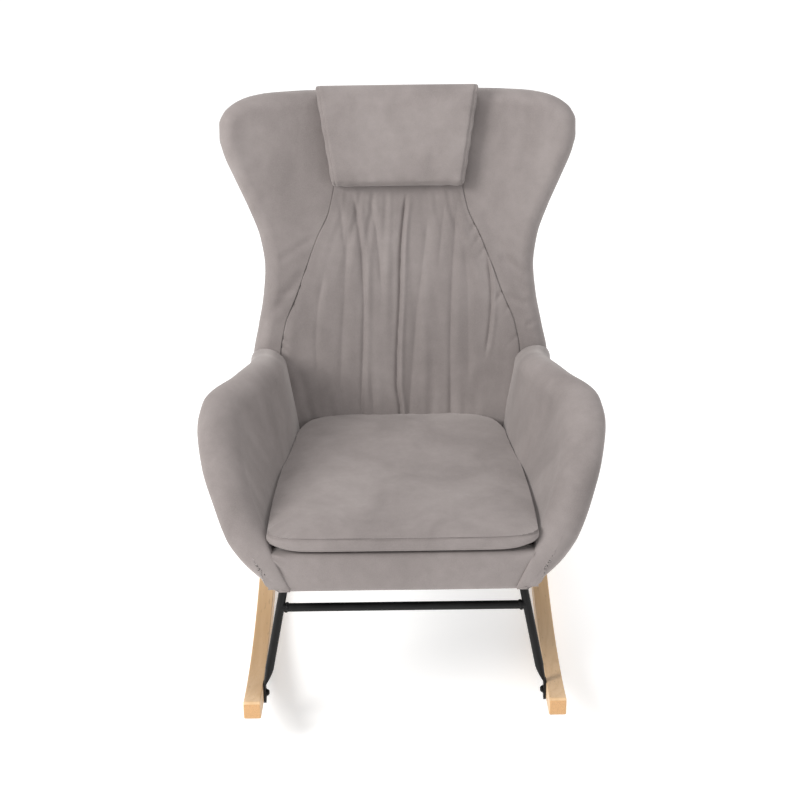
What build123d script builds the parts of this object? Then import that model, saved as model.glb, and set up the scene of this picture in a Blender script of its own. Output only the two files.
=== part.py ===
from build123d import *
import math
import os

# Rocking chair, in millimetres. +Z is up and the sitter faces -Y. The origin is at the middle
# of the bounding box, on the floor. Left and right are as seen from in front: left is -X.

# Rockers
ROCKER_RADIUS = 1670.0
ROCKER_LOWEST_Y = 57.0
ROCKER_HALF_LENGTH = 460.0
ROCKER_HEIGHT = 37.0
ROCKER_INNER_X = 276.0
ROCKER_OUTER_X = 309.0
STRIP_THICKNESS = 2.0
STRIP_INSET = 4.5
STRIP_SHORTER = 8.0
STRIP_FLAT = 35.0

# Steel base
TUBE_RADIUS = 8.5
TUBE_WALL = 1.5
TAB_THICKNESS = 5.0
TAB_WIDTH = 25.0
LEG_TOP_X = 223.0
LEG_KNEE_X = 263.0
FRONT_LEG_TOP_Y = -299.0
FRONT_KNEE_Y = -352.0
REAR_LEG_TOP_Y = 92.0
REAR_KNEE_Y = 286.0
KNEE_HEIGHT = 52.0
CROSSBAR_Z = 246.0
PLATE_WIDTH = 38.0
PLATE_THICKNESS = 4.0
PLATE_HALF_LENGTH = 238.0
BOLT_RADIUS = 3.0
HEAD_RADIUS = 6.5
HOLE_GAP = 0.1
OVAL_POINTS = 12

# Seat, in its own tilted frame: s runs back from the front edge, t stands square to the seat
SEAT_TILT = 3.6
SEAT_FRONT_Y = -380.0
SEAT_BOTTOM_Z = 332.0
RAIL_BOTTOM = 1.2
RAIL_TOP = 31.2
FRONT_RAIL = (28.0, 110.0)
REAR_RAIL = (440.0, 560.0)
SIDE_RAIL_END = 494.0
SIDE_RAIL_INNER_X = 185.0
FOAM_BOTTOM = 34.0
FOAM_TOP = 74.0
CUSHION_BOTTOM = 78.0
CUSHION_TOP = 116.0
APRON_BOTTOM = -13.0
CUSHION_SIDE = [(0, -389), (80, -389), (160, -388), (215, -384), (244, -375), (255, -356), (256, -325),
                (253, -270), (248, -200), (241, -115), (232, -35), (222, 30), (212, 85)]
CUSHION_REAR_Y = (146.0, 157.0)
WEBBING_X = (-152, -76, 0, 76, 152)
WEBBING_S = (150, 225, 300, 375, 450)
WEBBING_HALF_WIDTH = 25
WEBBING_THICKNESS = 1.2
DUST_COVER_THICKNESS = 1.0
CORNER_BLOCK = 60.0
PLATE_BOLT_X = (-165.0, -60.0, 60.0, 165.0)

# Arms: each is a slab that leans outward. Tables run from front to rear: (y, value)
ARM_THICKNESS = 72.0
ARM_RIM = [(-392, 372), (-372, 424), (-335, 478), (-285, 530), (-225, 574), (-160, 600),
           (-80, 610), (0, 604), (80, 586), (130, 568), (200, 546)]
ARM_BASE_X = [(-400, 258), (-300, 262), (-150, 256), (-20, 248), (80, 243), (200, 241)]
ARM_LEAN = [(-400, 0.42), (-300, 0.45), (-215, 0.435), (-125, 0.395), (-35, 0.235), (75, 0.14),
            (200, 0.19)]
ARM_BASE_Z = 340.0
ARM_SHOULDER = 26.0
ARM_FOOT = 70.0
ARM_FRONT_EASE = [(-390, 0.6), (-376, 0.9), (-350, 1.0)]
ARM_FOOT_DRAW = [(-390, 0.55), (-300, 0.9)]
ARM_STATIONS = (-390, -376, -350, -312, -268, -215, -160, -90, -20, 50, 120, 205)
PANEL_THICKNESS = 12.0
PANEL_TOP_GAP = 44.0
PANEL_STATIONS = (-362, -300, -215, -125, -35, 50, 120, 190)
ARM_BOLT_Y = (-185.0, -95.0, -15.0)

# Back: h runs up the reclined front face, n stands square to it and points forward
RECLINE = 19.0
BACK_FOOT_Y = 164.0
BACK_FOOT_Z = 406.0
BACK_THICKNESS = 78.0
FRONT_LAYER = 49.0
BOARD_THICKNESS = 9.0
BOARD_INSET = 28.0
BOARD_H = (-105.0, 640.0)
BACK_BOTTOM_H = -110.0
CENTRE_BOTTOM_H = -55.0
BACK_HALF_WIDTH = [(-110, 255), (-40, 272), (20, 287), (70, 300), (120, 306), (190, 294), (250, 283),
                   (310, 278), (370, 286), (430, 307), (490, 333), (550, 357), (600, 367), (630, 354),
                   (645, 338), (658, 311), (667, 270)]
PANEL_SEAM = [(-110, 214), (-40, 214), (20, 228), (70, 238), (120, 249), (190, 238), (250, 214), (310, 192),
              (370, 169), (430, 142), (490, 132), (550, 141), (600, 150), (630, 155), (645, 158),
              (658, 160), (667, 162)]
WING_FORWARD = [(-110, 30), (200, 45), (400, 50), (670, 70)]
WING_REFERENCE = 360.0
WING_EDGE_EASE = 16.0
BACK_BOLT_X = (-150.0, -60.0, 60.0, 150.0)
HEAD_PAD_H = (476.0, 682.0)
HEAD_PAD_HALF_WIDTH = (135.0, 167.0)
HEAD_PAD_THICKNESS = 44.0
HEAD_PAD_EASE = 10.0
HEAD_PAD_END_DROP = 14.0

SOFT_GAP = 0.6
FOAM_GAP = 2.0
CUSHION_GAP = 3.0
BOARD_GAP = 0.4

tilt = math.radians(SEAT_TILT)
recline = math.radians(RECLINE)


def between(table, value):
    """Straight-line value from a table of (place, value) pairs."""
    if value <= table[0][0]:
        return table[0][1]
    for (a, low), (b, high) in zip(table, table[1:]):
        if value <= b:
            return low + (high - low) * (value - a) / (b - a)
    return table[-1][1]


def solid_of(shape):
    """The one solid of a boolean's result."""
    return shape.solids().sort_by(SortBy.VOLUME)[-1]


def mirrored(shape):
    return mirror(shape, about=Plane.YZ)


def closed_face(edges):
    return Face(Wire(edges))


def polygon_face(points):
    return Face(Wire.make_polygon(points, close=True))


def rod(start, end, radius):
    """Round bar between two points."""
    start = Vector(*start)
    axis = Vector(*end) - start
    return Solid.make_cylinder(radius, axis.length, Plane(origin=start, z_dir=axis))


def oval(centre, long_way, short_way, long_half, short_half):
    """Closed smooth oval about a centre, its half sizes along two directions."""
    points = []
    for i in range(OVAL_POINTS):
        turn = 2 * math.pi * i / OVAL_POINTS
        along = long_way * (long_half * math.cos(turn))
        points.append(centre + along + short_way * (short_half * math.sin(turn)))
    return Wire([Edge.make_spline(points, periodic=True)])


# ---------------------------------------------------------------- places on the chair

def seat_point(x, s, t):
    y = SEAT_FRONT_Y + s * math.cos(tilt) + t * math.sin(tilt)
    z = SEAT_BOTTOM_Z - s * math.sin(tilt) + t * math.cos(tilt)
    return Vector(x, y, z)


def seat_prism(outline, bottom, top):
    """Prism on an outline of (x, s) points, from height bottom to top in the seat's frame."""
    face = polygon_face([seat_point(x, s, bottom) for x, s in outline])
    return Solid.extrude(face, seat_point(0, 0, top) - seat_point(0, 0, bottom))


def seat_box(x0, x1, s0, s1, bottom, top):
    return seat_prism([(x0, s0), (x1, s0), (x1, s1), (x0, s1)], bottom, top)


def rail_outer_x(s):
    """Outside of the side rails, which close in towards the rear."""
    return 247.0 - 20.0 * s / 550.0


def back_point(x, h, n):
    forward = n + between(WING_FORWARD, h) * (abs(x) / WING_REFERENCE) ** 2
    y = BACK_FOOT_Y + h * math.sin(recline) - forward * math.cos(recline)
    z = BACK_FOOT_Z + h * math.cos(recline) + forward * math.sin(recline)
    return Vector(x, y, z)


def back_curve(x0, x1, h, n):
    """Curve across the back at height h and depth n, from x0 to x1."""
    steps = 6
    return Spline([back_point(x0 + (x1 - x0) * i / steps, h, n) for i in range(steps + 1)])


def arm_middle(y, z):
    return between(ARM_BASE_X, y) + between(ARM_LEAN, y) * (z - ARM_BASE_Z)


def arm_bottom(y):
    return SEAT_BOTTOM_Z - (y - SEAT_FRONT_Y) * math.tan(tilt)


def arm_inner(y, z):
    return arm_middle(y, z) - ARM_THICKNESS / 2


# ---------------------------------------------------------------- base

def rocker_z(y, rise):
    """Height of a rocker layer that lies rise above the strip's lower face."""
    radius = ROCKER_RADIUS - rise
    pressed_flat = ROCKER_RADIUS - math.sqrt(ROCKER_RADIUS ** 2 - STRIP_FLAT ** 2)
    return ROCKER_RADIUS - math.sqrt(radius ** 2 - (y - ROCKER_LOWEST_Y) ** 2) - pressed_flat


def rocker_layer(low, high, x0, x1, shorten, nose):
    """Curved bar between two heights above the strip's lower face, its ends rounded by nose."""
    ends = (-ROCKER_HALF_LENGTH + shorten, ROCKER_HALF_LENGTH - shorten)
    below = [(y, rocker_z(y, low)) for y in (ends[0], ROCKER_LOWEST_Y, ends[1])]
    above = [(y, rocker_z(y, high)) for y in (ends[1], ROCKER_LOWEST_Y, ends[0])]
    low_points = [Vector(x0, y, z) for y, z in below]
    high_points = [Vector(x0, y, z) for y, z in above]
    edges = [
        ThreePointArc(*low_points),
        Line(low_points[2], high_points[0]),
        ThreePointArc(*high_points),
        Line(high_points[2], low_points[0]),
    ]
    profile = closed_face(edges)
    if nose:
        profile = profile.fillet_2d(nose, profile.vertices())
    return Solid.extrude(profile, Vector(x1 - x0, 0, 0))


def bolt_place(knee_y):
    """Middle of the rocker's inner face below a leg's knee."""
    y = knee_y - 7.0 if knee_y < 0 else knee_y + 7.0
    return Vector(ROCKER_INNER_X, y, rocker_z(y, STRIP_THICKNESS + ROCKER_HEIGHT / 2))


def rocker(bolts):
    top = STRIP_THICKNESS + ROCKER_HEIGHT
    bar = rocker_layer(STRIP_THICKNESS, top, ROCKER_INNER_X, ROCKER_OUTER_X, 0.0, 6.0)
    rims = [e for e in bar.edges() if abs(e.tangent_at(0.5).X) < 0.1]
    bar = solid_of(bar.fillet(2.5, rims))
    for place in bolts:
        pocket = rod(place, place + Vector(24, 0, 0), 5.0 + HOLE_GAP)
        bar = solid_of(bar - pocket)
    return bar


def glide_strip():
    """Strip under a rocker, pressed flat where the rocker stands."""
    x0 = ROCKER_INNER_X + STRIP_INSET
    x1 = ROCKER_OUTER_X - STRIP_INSET
    strip = rocker_layer(0.0, STRIP_THICKNESS, x0, x1, STRIP_SHORTER, 0.0)
    floor = Pos(x0, ROCKER_LOWEST_Y, -5.0) * Box(200.0, 400.0, 10.0)
    return solid_of(strip - floor)


def seat_underside_cut():
    """Everything above the mount plates' lower face."""
    return seat_box(-400, 400, -100, 700, -PLATE_THICKNESS, 300)


def leg(top_y, knee_y):
    """Tube from the mount plate to its knee, then flattened into a drilled tab."""
    place = bolt_place(knee_y)
    top = seat_point(LEG_TOP_X, top_y - SEAT_FRONT_Y, 0.0)
    knee = Vector(LEG_KNEE_X, knee_y, place.Z + KNEE_HEIGHT)
    axis = (top - knee).normalized()
    tube = rod(knee, top + axis * 40.0, TUBE_RADIUS)
    bore = rod(knee + axis * 4.0, top + axis * 60.0, TUBE_RADIUS - TUBE_WALL)
    tube = solid_of(tube - bore)
    tube = solid_of(tube - seat_underside_cut())
    tab_x = ROCKER_INNER_X - TAB_THICKNESS / 2
    neck_foot = Vector(tab_x, place.Y, place.Z + TAB_WIDTH - 4.0)
    across = Vector(0, 1, 0)
    side = axis.cross(across).normalized()
    flat_end = oval(neck_foot, across, Vector(-1, 0, 0), TAB_WIDTH / 2, TAB_THICKNESS / 2 - 0.1)
    middle = neck_foot * 0.45 + knee * 0.55 - Vector(0, 0, 4)
    half_way = oval(middle, across, Vector(-1, 0, 0), TUBE_RADIUS + 2.4, TUBE_RADIUS - 2.6)
    round_end = oval(knee + axis * 2.0, axis.cross(side) * -1, side, TUBE_RADIUS - 0.05, TUBE_RADIUS - 0.05)
    neck = Solid.make_loft([flat_end, half_way, round_end])
    tab = Pos(tab_x, place.Y, place.Z + 2.0) * Box(TAB_THICKNESS, TAB_WIDTH, 2 * TAB_WIDTH - 4.0)
    tab = tab.fillet(10.0, tab.edges().filter_by(Axis.X))
    whole = solid_of(tube + neck + tab)
    hole = rod(place - Vector(20, 0, 0), place + Vector(1, 0, 0), BOLT_RADIUS + HOLE_GAP)
    return solid_of(whole - hole), knee, axis


def crossbar(legs):
    """Bar welded between the two legs of one pair, coped to their tubes."""
    shape, knee, axis = legs
    reach = (CROSSBAR_Z - knee.Z) / axis.Z
    middle = knee + axis * reach
    bar = rod((-middle.X, middle.Y, middle.Z), (middle.X, middle.Y, middle.Z), TUBE_RADIUS)
    cope = rod(knee - axis * 10.0, knee + axis * 300.0, TUBE_RADIUS)
    return solid_of(bar - cope - mirrored(cope))


def mount_plate(s_middle):
    plate = seat_box(-PLATE_HALF_LENGTH, PLATE_HALF_LENGTH, s_middle - PLATE_WIDTH / 2,
                     s_middle + PLATE_WIDTH / 2, -PLATE_THICKNESS, -0.2)
    for x in PLATE_BOLT_X:
        hole = rod(seat_point(x, s_middle, -20), seat_point(x, s_middle, 10), BOLT_RADIUS + HOLE_GAP)
        plate = solid_of(plate - hole)
    return plate


def dome_bolt(place, direction, shank):
    """Round-headed bolt: the head's flat is at place, and the shank runs along direction."""
    direction = Vector(*direction).normalized()
    head = rod(place, place - direction * 2.0, HEAD_RADIUS)
    dome_plane = Plane(origin=place - direction * 2.0, z_dir=direction * -1)
    dome = Solid.make_cone(HEAD_RADIUS, HEAD_RADIUS * 0.55, 2.6, dome_plane)
    body = rod(place, place + direction * shank, BOLT_RADIUS)
    return solid_of(head + dome + body)


def ring(place, direction, inner, outer, thickness):
    """Washer or bush whose near face is at place."""
    direction = Vector(*direction).normalized()
    end = place + direction * thickness
    return solid_of(rod(place, end, outer) - rod(place - direction, end + direction, inner))


def build_base(parts):
    bolts = [bolt_place(FRONT_KNEE_Y), bolt_place(REAR_KNEE_Y)]
    right = rocker(bolts)
    parts["rocker_right"] = [right]
    parts["rocker_left"] = [mirrored(right)]
    strip = glide_strip()
    parts["glide_strips"] = [strip, mirrored(strip)]
    outward = Vector(1, 0, 0)
    tab_face = ROCKER_INNER_X - TAB_THICKNESS
    heads = []
    washers = []
    inserts = []
    for place in bolts:
        on_tab = Vector(tab_face, place.Y, place.Z)
        washers.append(ring(on_tab - outward * 1.6, outward, BOLT_RADIUS + HOLE_GAP, 8.0, 1.5))
        heads.append(dome_bolt(on_tab - outward * 1.7, outward, 26.0))
        inserts.append(ring(place + outward * 0.2, outward, BOLT_RADIUS + HOLE_GAP, 5.0, 20.0))
    for name, group in (("rocker_bolts", heads), ("rocker_washers", washers), ("rocker_inserts", inserts)):
        parts[name] = group + [mirrored(one) for one in group]
    pairs = (("front", FRONT_LEG_TOP_Y, FRONT_KNEE_Y), ("rear", REAR_LEG_TOP_Y, REAR_KNEE_Y))
    for name, top_y, knee_y in pairs:
        one = leg(top_y, knee_y)
        parts[name + "_leg_right"] = [one[0]]
        parts[name + "_leg_left"] = [mirrored(one[0])]
        parts[name + "_crossbar"] = [crossbar(one)]
        parts[name + "_mount_plate"] = [mount_plate(top_y - SEAT_FRONT_Y)]


# ---------------------------------------------------------------- seat

def plate_bolts():
    bolts = []
    nuts = []
    up = seat_point(0, 0, 1) - seat_point(0, 0, 0)
    for top_y in (FRONT_LEG_TOP_Y, REAR_LEG_TOP_Y):
        for x in PLATE_BOLT_X:
            s = top_y - SEAT_FRONT_Y
            bolts.append(dome_bolt(seat_point(x, s, -PLATE_THICKNESS - 0.1), up, 30.0))
            nuts.append(ring(seat_point(x, s, 14.0), up, BOLT_RADIUS + HOLE_GAP, 5.0, 17.0))
    return bolts, nuts


def drilled(shape, cutters):
    for cutter in cutters:
        shape = solid_of(shape - cutter)
    return shape


def plate_bolt_holes(top_y):
    s = top_y - SEAT_FRONT_Y
    holes = []
    for x in PLATE_BOLT_X:
        holes.append(rod(seat_point(x, s, -5), seat_point(x, s, 40), BOLT_RADIUS + HOLE_GAP))
        holes.append(rod(seat_point(x, s, 13.8), seat_point(x, s, 40), 5.0 + HOLE_GAP))
    return holes


def side_rail():
    outline = [(SIDE_RAIL_INNER_X, FRONT_RAIL[0]), (rail_outer_x(FRONT_RAIL[0]), FRONT_RAIL[0]),
               (rail_outer_x(SIDE_RAIL_END), SIDE_RAIL_END), (SIDE_RAIL_INNER_X, SIDE_RAIL_END)]
    return seat_prism(outline, RAIL_BOTTOM, RAIL_TOP)


def arm_bolt_line(y):
    """Ends of an arm bolt: inside the side rail, and inside the arm panel."""
    inner = seat_point(SIDE_RAIL_INNER_X, y - SEAT_FRONT_Y, 16.0)
    outer = Vector(arm_middle(inner.Y, inner.Z) + 4.0, inner.Y, inner.Z)
    return inner, outer


def arm_bolt_holes():
    holes = []
    for y in ARM_BOLT_Y:
        inner, outer = arm_bolt_line(y)
        holes.append(rod(inner - Vector(2, 0, 0), outer + Vector(0.5, 0, 0), BOLT_RADIUS + HOLE_GAP))
    return holes


def corner_blocks():
    blocks = []
    edge = SIDE_RAIL_INNER_X - 0.2
    for s, step in ((FRONT_RAIL[1] + 0.2, CORNER_BLOCK), (REAR_RAIL[0] - 0.2, -CORNER_BLOCK)):
        for side in (-1, 1):
            outline = [(side * edge, s), (side * (edge - CORNER_BLOCK), s), (side * edge, s + step)]
            if side * step > 0:
                outline.reverse()
            blocks.append(seat_prism(outline, RAIL_BOTTOM + 1.0, RAIL_TOP - 1.0))
    return blocks


def webbing(lengthwise):
    """Straps 50 wide; the crosswise ones lie on the lengthwise ones."""
    straps = []
    half = WEBBING_HALF_WIDTH
    first = RAIL_TOP + 0.1
    second = first + WEBBING_THICKNESS + 0.1
    if lengthwise:
        for x in WEBBING_X:
            straps.append(seat_box(x - half, x + half, 40, 540, first, first + WEBBING_THICKNESS))
    else:
        for s in WEBBING_S:
            straps.append(seat_box(-205, 205, s - half, s + half, second, second + WEBBING_THICKNESS))
    return straps


def soft_block(s_values, bottom, top):
    """Foam between the arms, cut a little clear of them."""
    sections = []
    for s in s_values:
        low = seat_point(0, s, bottom)
        high = seat_point(0, s, top)
        low_x = arm_inner(low.Y, low.Z) - FOAM_GAP
        high_x = arm_inner(high.Y, high.Z) - FOAM_GAP
        corners = [(-low_x, bottom), (low_x, bottom), (high_x, top), (-high_x, top)]
        sections.append(Wire.make_polygon([seat_point(x, s, t) for x, t in corners], close=True))
    return Solid.make_loft(sections)


def cushion_section(t, shrink, rear_y):
    """Cushion outline at height t: nearly straight sides that close in, rounded corners."""
    half = CUSHION_SIDE + [(184, rear_y - 18), (140, rear_y - 3), (0, rear_y)]
    centre = seat_point(0, 0, t)
    placed = []
    for x, y in half:
        s = (y - centre.Y) / math.cos(tilt)
        point = seat_point(0, s, t)
        limit = arm_inner(y, point.Z) - CUSHION_GAP
        placed.append(seat_point(min(x - shrink, limit) if x else 0, s, t))
    placed += [Vector(-p.X, p.Y, p.Z) for p in reversed(placed[1:-1])]
    return Wire([Edge.make_spline(placed, periodic=True)])


def build_seat(parts, back_envelope, behind_board):
    bolts, nuts = plate_bolts()
    parts["plate_bolts"] = bolts
    parts["plate_tee_nuts"] = nuts
    front = seat_box(-184.8, 184.8, *FRONT_RAIL, RAIL_BOTTOM, RAIL_TOP)
    parts["seat_front_rail"] = [drilled(front, plate_bolt_holes(FRONT_LEG_TOP_Y))]
    rear = seat_box(-184.8, 184.8, REAR_RAIL[0], SIDE_RAIL_END + 1.0, RAIL_BOTTOM, RAIL_TOP)
    rear = rear + seat_box(-212, 212, SIDE_RAIL_END + 0.2, REAR_RAIL[1] + 40.0, RAIL_BOTTOM, RAIL_TOP)
    rear = drilled(solid_of(rear - behind_board), plate_bolt_holes(REAR_LEG_TOP_Y) + back_bolt_holes())
    parts["seat_rear_rail"] = [rear]
    side = drilled(side_rail(), arm_bolt_holes())
    parts["seat_side_rail_right"] = [side]
    parts["seat_side_rail_left"] = [mirrored(side)]
    parts["corner_blocks"] = corner_blocks()
    parts["webbing_lengthwise"] = webbing(True)
    parts["webbing_crosswise"] = webbing(False)
    half = [(212, 534), (212, SIDE_RAIL_END), (223, SIDE_RAIL_END), (240, FRONT_RAIL[0])]
    outline = half + [(-x, s) for x, s in reversed(half)]
    cover = seat_prism(outline, 0.0, DUST_COVER_THICKNESS)
    cover = drilled(cover, plate_bolt_holes(FRONT_LEG_TOP_Y))
    parts["dust_cover"] = [drilled(cover, plate_bolt_holes(REAR_LEG_TOP_Y))]
    foam = soft_block((28, 120, 240, 330, 440, 580), FOAM_BOTTOM, FOAM_TOP)
    parts["seat_foam"] = [solid_of(foam - back_envelope)]
    apron = soft_block((-5, 27.4), APRON_BOTTOM, FOAM_TOP)
    apron = solid_of(apron.fillet(12.0, apron.edges().filter_by(Axis.X).sort_by(Axis.Y)[:2]))
    parts["front_apron"] = [apron]
    low = cushion_section(CUSHION_BOTTOM, 4.0, CUSHION_REAR_Y[0])
    high = cushion_section(CUSHION_TOP, 1.0, CUSHION_REAR_Y[1])
    cushion = Solid.make_loft([low, high])
    cushion = cushion.fillet(9.0, [e for e in cushion.edges() if e.length > 500.0])
    parts["seat_cushion"] = [solid_of(cushion)]


# ---------------------------------------------------------------- arms

def arm_section(y):
    low = arm_bottom(y)
    high = between(ARM_RIM, y)
    half = ARM_THICKNESS / 2 * between(ARM_FRONT_EASE, y)
    draw = between(ARM_FOOT_DRAW, y)
    tall = high - low
    shoulder = min(ARM_SHOULDER, 0.35 * tall)
    foot = min(ARM_FOOT, 0.4 * tall)
    inner = ((-0.8, low), (-1.0, low + 0.25 * tall), (-1.0, low + 0.6 * tall), (-1.0, high - shoulder),
             (-0.62, high - 0.25 * shoulder), (0.0, high))
    outer = ((0.0, high), (0.62, high - 0.25 * shoulder), (1.0, high - shoulder), (1.0, low + 0.6 * tall),
             (draw, low + foot), (draw - 0.55, low + 0.3 * foot), (-0.4, low))
    inner = [Vector(arm_middle(y, z) + across * half, y, z) for across, z in inner]
    outer = [Vector(arm_middle(y, z) + across * half, y, z) for across, z in outer]
    return Wire([Spline(inner), Spline(outer), Line(outer[-1], inner[0])])


def arm_panel_solid(grow):
    """Bent plywood arm panel; grow widens it for its pocket in the pad."""
    sections = []
    for y in PANEL_STATIONS:
        low = arm_bottom(y) + 2.0 - 50.0 * grow
        high = between(ARM_RIM, y) - PANEL_TOP_GAP + grow
        half = PANEL_THICKNESS / 2 + grow
        shift = {PANEL_STATIONS[0]: -grow, PANEL_STATIONS[-1]: grow}.get(y, 0.0)
        corners = [(-half, low), (half, low), (half, high), (-half, high)]
        points = [Vector(arm_middle(y, z) + across, y + shift, z) for across, z in corners]
        sections.append(Wire.make_polygon(points, close=True))
    return Solid.make_loft(sections, True)


def build_arms(parts, back_envelope):
    s_ends = (FRONT_RAIL[0] - 0.6, 600.0)
    frame_outline = [(-100, s_ends[0]), (rail_outer_x(s_ends[0]) + SOFT_GAP, s_ends[0]),
                     (rail_outer_x(s_ends[1]) + SOFT_GAP, s_ends[1]), (-100, s_ends[1])]
    seat_envelope = seat_prism(frame_outline, -8.0, FOAM_BOTTOM - 0.1)
    panel = solid_of(arm_panel_solid(0.0) - back_envelope)
    panel = drilled(panel, arm_bolt_holes())
    pad = Solid.make_loft([arm_section(y) for y in ARM_STATIONS], True)
    pad = solid_of(pad - back_envelope)
    pad = solid_of(pad - arm_panel_solid(BOARD_GAP))
    pad = drilled(pad, [seat_envelope] + arm_bolt_holes())
    parts["arm_panel_right"] = [panel]
    parts["arm_panel_left"] = [mirrored(panel)]
    parts["arm_pad_right"] = [pad]
    parts["arm_pad_left"] = [mirrored(pad)]
    bolts = []
    for y in ARM_BOLT_Y:
        inner, outer = arm_bolt_line(y)
        bolts.append(dome_bolt(inner - Vector(0.1, 0, 0), (1, 0, 0), outer.X - inner.X))
    parts["arm_bolts"] = bolts + [mirrored(bolt) for bolt in bolts]


# ---------------------------------------------------------------- back

def back_section(x0, x1, h, front, rear, front_round):
    """Closed section at height h from x0 to x1, its front edge at x1 eased."""
    far = x1 - front_round
    points = [back_point(far, h, front), back_point(x1, h, front - front_round), back_point(x1, h, rear)]
    edges = [back_curve(x0, far, h, front)]
    edges += [Line(a, b) for a, b in zip(points, points[1:])]
    edges.append(back_curve(x1, x0, h, rear))
    edges.append(Line(back_point(x0, h, rear), back_point(x0, h, front)))
    return Wire(edges)


def back_layer(front, rear, inset, low_h, high_h):
    """Full-width layer of the back, inset from its outline."""
    wires = []
    heights = [low_h] + [h for h, _ in BACK_HALF_WIDTH if low_h < h < high_h] + [high_h]
    for h in heights:
        half = between(BACK_HALF_WIDTH, h) - inset
        wires.append(Wire([
            back_curve(-half, half, h, front),
            Line(back_point(half, h, front), back_point(half, h, rear)),
            back_curve(half, -half, h, rear),
            Line(back_point(-half, h, rear), back_point(-half, h, front)),
        ]))
    return Solid.make_loft(wires, True)


def centre_pad():
    wires = []
    for h, seam in [(CENTRE_BOTTOM_H, PANEL_SEAM[0][1])] + PANEL_SEAM[1:]:
        half = seam - SOFT_GAP / 2
        wires.append(Wire([
            back_curve(-half, half, h, 0.0),
            Line(back_point(half, h, 0.0), back_point(half, h, -FRONT_LAYER)),
            back_curve(half, -half, h, -FRONT_LAYER),
            Line(back_point(-half, h, -FRONT_LAYER), back_point(-half, h, 0.0)),
        ]))
    return Solid.make_loft(wires, True)


def wing_pad():
    wires = []
    for h, width in BACK_HALF_WIDTH:
        seam = between(PANEL_SEAM, h) + SOFT_GAP / 2
        wires.append(back_section(seam, width, h, 0.0, -FRONT_LAYER, WING_EDGE_EASE))
    return Solid.make_loft(wires, True)


def head_pad():
    wires = []
    ease = HEAD_PAD_EASE
    low, high = HEAD_PAD_H
    rows = [(low, HEAD_PAD_END_DROP), (low + ease, 0.0), (high - ease, 0.0), (high, HEAD_PAD_END_DROP)]
    for h, thin in rows:
        share = (h - HEAD_PAD_H[0]) / (HEAD_PAD_H[1] - HEAD_PAD_H[0])
        half = HEAD_PAD_HALF_WIDTH[0] + share * (HEAD_PAD_HALF_WIDTH[1] - HEAD_PAD_HALF_WIDTH[0])
        front = HEAD_PAD_THICKNESS - thin
        wires.append(Wire([
            back_curve(-half + ease, half - ease, h, front),
            Line(back_point(half - ease, h, front), back_point(half, h, front - ease)),
            Line(back_point(half, h, front - ease), back_point(half, h, SOFT_GAP)),
            back_curve(half, -half, h, SOFT_GAP),
            Line(back_point(-half, h, SOFT_GAP), back_point(-half, h, front - ease)),
            Line(back_point(-half, h, front - ease), back_point(-half + ease, h, front)),
        ]))
    return Solid.make_loft(wires, True)


def back_bolt_place(x):
    """Where a back bolt's head sits on the board's rear face, and the way its shank runs."""
    head = back_point(x, -93.0, -FRONT_LAYER)
    forward = back_point(0, 0, 1) - back_point(0, 0, 0)
    return head, forward


def back_bolt_holes():
    holes = []
    for x in BACK_BOLT_X:
        head, forward = back_bolt_place(x)
        holes.append(rod(head - forward * 1.0, head + forward * 56.0, BOLT_RADIUS + HOLE_GAP))
    return holes


def build_back(parts):
    board_front = BOARD_THICKNESS - FRONT_LAYER
    low, high = BOARD_H
    pocket_h = (low - 10.0, high + BOARD_GAP)
    board = back_layer(board_front, -FRONT_LAYER, BOARD_INSET, low, high)
    pocket = back_layer(board_front + BOARD_GAP, -FRONT_LAYER - 5.0, BOARD_INSET - BOARD_GAP, *pocket_h)
    parts["back_board"] = [drilled(board, back_bolt_holes())]
    parts["back_centre_pad"] = [solid_of(centre_pad() - pocket)]
    wing = solid_of(wing_pad() - pocket)
    parts["wing_pad_right"] = [wing]
    parts["wing_pad_left"] = [mirrored(wing)]
    cover = back_layer(-FRONT_LAYER - 0.5, -BACK_THICKNESS, 0.0, BACK_BOTTOM_H, 667.0)
    bolts = []
    for x in BACK_BOLT_X:
        head, forward = back_bolt_place(x)
        bolts.append(dome_bolt(head - forward * 0.7, forward, 54.0))
        cover = solid_of(cover - rod(head + forward, head - forward * 6.0, HEAD_RADIUS + 1.0))
    parts["back_rear_cover"] = [cover]
    parts["back_bolts"] = bolts
    parts["head_pad"] = [head_pad()]


# ---------------------------------------------------------------- whole chair

def main():
    parts = {}
    back_envelope = back_layer(SOFT_GAP, -140.0, -60.0, -125.0, 250.0)
    behind_board = back_layer(BOARD_THICKNESS - FRONT_LAYER + BOARD_GAP, -140.0, -60.0, -125.0, 60.0)
    build_base(parts)
    build_seat(parts, back_envelope, behind_board)
    build_arms(parts, back_envelope)
    build_back(parts)
    os.makedirs("parts", exist_ok=True)
    for name, solids in parts.items():
        export_step(Compound(children=solids) if len(solids) > 1 else solids[0], f"parts/{name}.step")


main()
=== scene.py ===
import math

import bmesh
import bpy
import numpy as np
from mathutils import Matrix, Vector


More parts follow.
